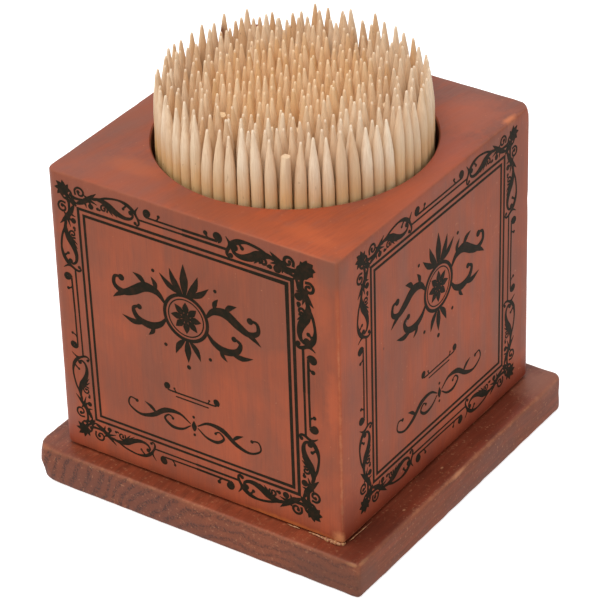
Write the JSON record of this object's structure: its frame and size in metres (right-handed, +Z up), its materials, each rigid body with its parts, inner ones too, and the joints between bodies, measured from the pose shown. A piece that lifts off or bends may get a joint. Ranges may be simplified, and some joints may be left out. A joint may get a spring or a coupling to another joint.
{
  "type": "toothpick holder",
  "caption": "Bored wooden block glued to a square base board, holding upright loose round toothpicks that are drawn out from the top.",
  "frame": {"origin": "centre of the base board's underside, on the surface that the holder stands on", "axes": "+Z up, out of the bore; -Y the front face, left in the picture; +X the right-hand face"},
  "size_m": [0.064, 0.0636, 0.0717],
  "materials": {
    "block_wood": "satin red-brown stain, worn lighter on edges",
    "base_wood": "satin red-brown stain",
    "pick_wood": "bare birch, unfinished"
  },
  "bodies": {
    "root": {"base_board": "base_wood", "bored_block": "block_wood"},
    "refill": {"toothpick_bundle_left": "pick_wood", "toothpick_bundle_right": "pick_wood", "toothpick_07": "pick_wood", "toothpick_08": "pick_wood", "toothpick_09": "pick_wood", "toothpick_10": "pick_wood", "toothpick_11": "pick_wood", "toothpick_12": "pick_wood", "toothpick_13": "pick_wood", "toothpick_14": "pick_wood", "toothpick_15": "pick_wood", "toothpick_16": "pick_wood", "toothpick_17": "pick_wood", "toothpick_18": "pick_wood", "toothpick_19": "pick_wood", "toothpick_20": "pick_wood", "toothpick_21": "pick_wood", "toothpick_22": "pick_wood", "toothpick_23": "pick_wood", "toothpick_24": "pick_wood", "toothpick_25": "pick_wood", "toothpick_26": "pick_wood", "toothpick_27": "pick_wood", "toothpick_28": "pick_wood", "toothpick_29": "pick_wood", "toothpick_30": "pick_wood", "toothpick_31": "pick_wood", "toothpick_32": "pick_wood", "toothpick_33": "pick_wood", "toothpick_34": "pick_wood", "toothpick_35": "pick_wood", "toothpick_36": "pick_wood", "toothpick_37": "pick_wood", "toothpick_38": "pick_wood", "toothpick_39": "pick_wood", "toothpick_40": "pick_wood", "toothpick_41": "pick_wood", "toothpick_42": "pick_wood", "toothpick_43": "pick_wood", "toothpick_44": "pick_wood", "toothpick_45": "pick_wood", "toothpick_46": "pick_wood", "toothpick_47": "pick_wood", "toothpick_48": "pick_wood", "toothpick_49": "pick_wood", "toothpick_50": "pick_wood", "toothpick_51": "pick_wood", "toothpick_52": "pick_wood", "toothpick_53": "pick_wood", "toothpick_54": "pick_wood"},
    "drawn_pick_1": {"toothpick_01": "pick_wood"},
    "drawn_pick_2": {"toothpick_02": "pick_wood"},
    "drawn_pick_3": {"toothpick_03": "pick_wood"},
    "drawn_pick_4": {"toothpick_04": "pick_wood"},
    "drawn_pick_5": {"toothpick_05": "pick_wood"},
    "drawn_pick_6": {"toothpick_06": "pick_wood"}
  },
  "joints": [
    {"name": "refill_lift", "type": "slide", "parent": "root", "child": "refill", "axis": [0, 0, 1], "range_m": [0, 0.055]},
    {"name": "pick_1_draw", "type": "slide", "parent": "refill", "child": "drawn_pick_1", "axis": [0, 0, 1], "range_m": [0, 0.066]},
    {"name": "pick_2_draw", "type": "slide", "parent": "refill", "child": "drawn_pick_2", "axis": [0, 0, 1], "range_m": [0, 0.066]},
    {"name": "pick_3_draw", "type": "slide", "parent": "refill", "child": "drawn_pick_3", "axis": [0, 0, 1], "range_m": [0, 0.066]},
    {"name": "pick_4_draw", "type": "slide", "parent": "refill", "child": "drawn_pick_4", "axis": [0, 0, 1], "range_m": [0, 0.066]},
    {"name": "pick_5_draw", "type": "slide", "parent": "refill", "child": "drawn_pick_5", "axis": [0, 0, 1], "range_m": [0, 0.066]},
    {"name": "pick_6_draw", "type": "slide", "parent": "refill", "child": "drawn_pick_6", "axis": [0, 0, 1], "range_m": [0, 0.066]}
  ]
}
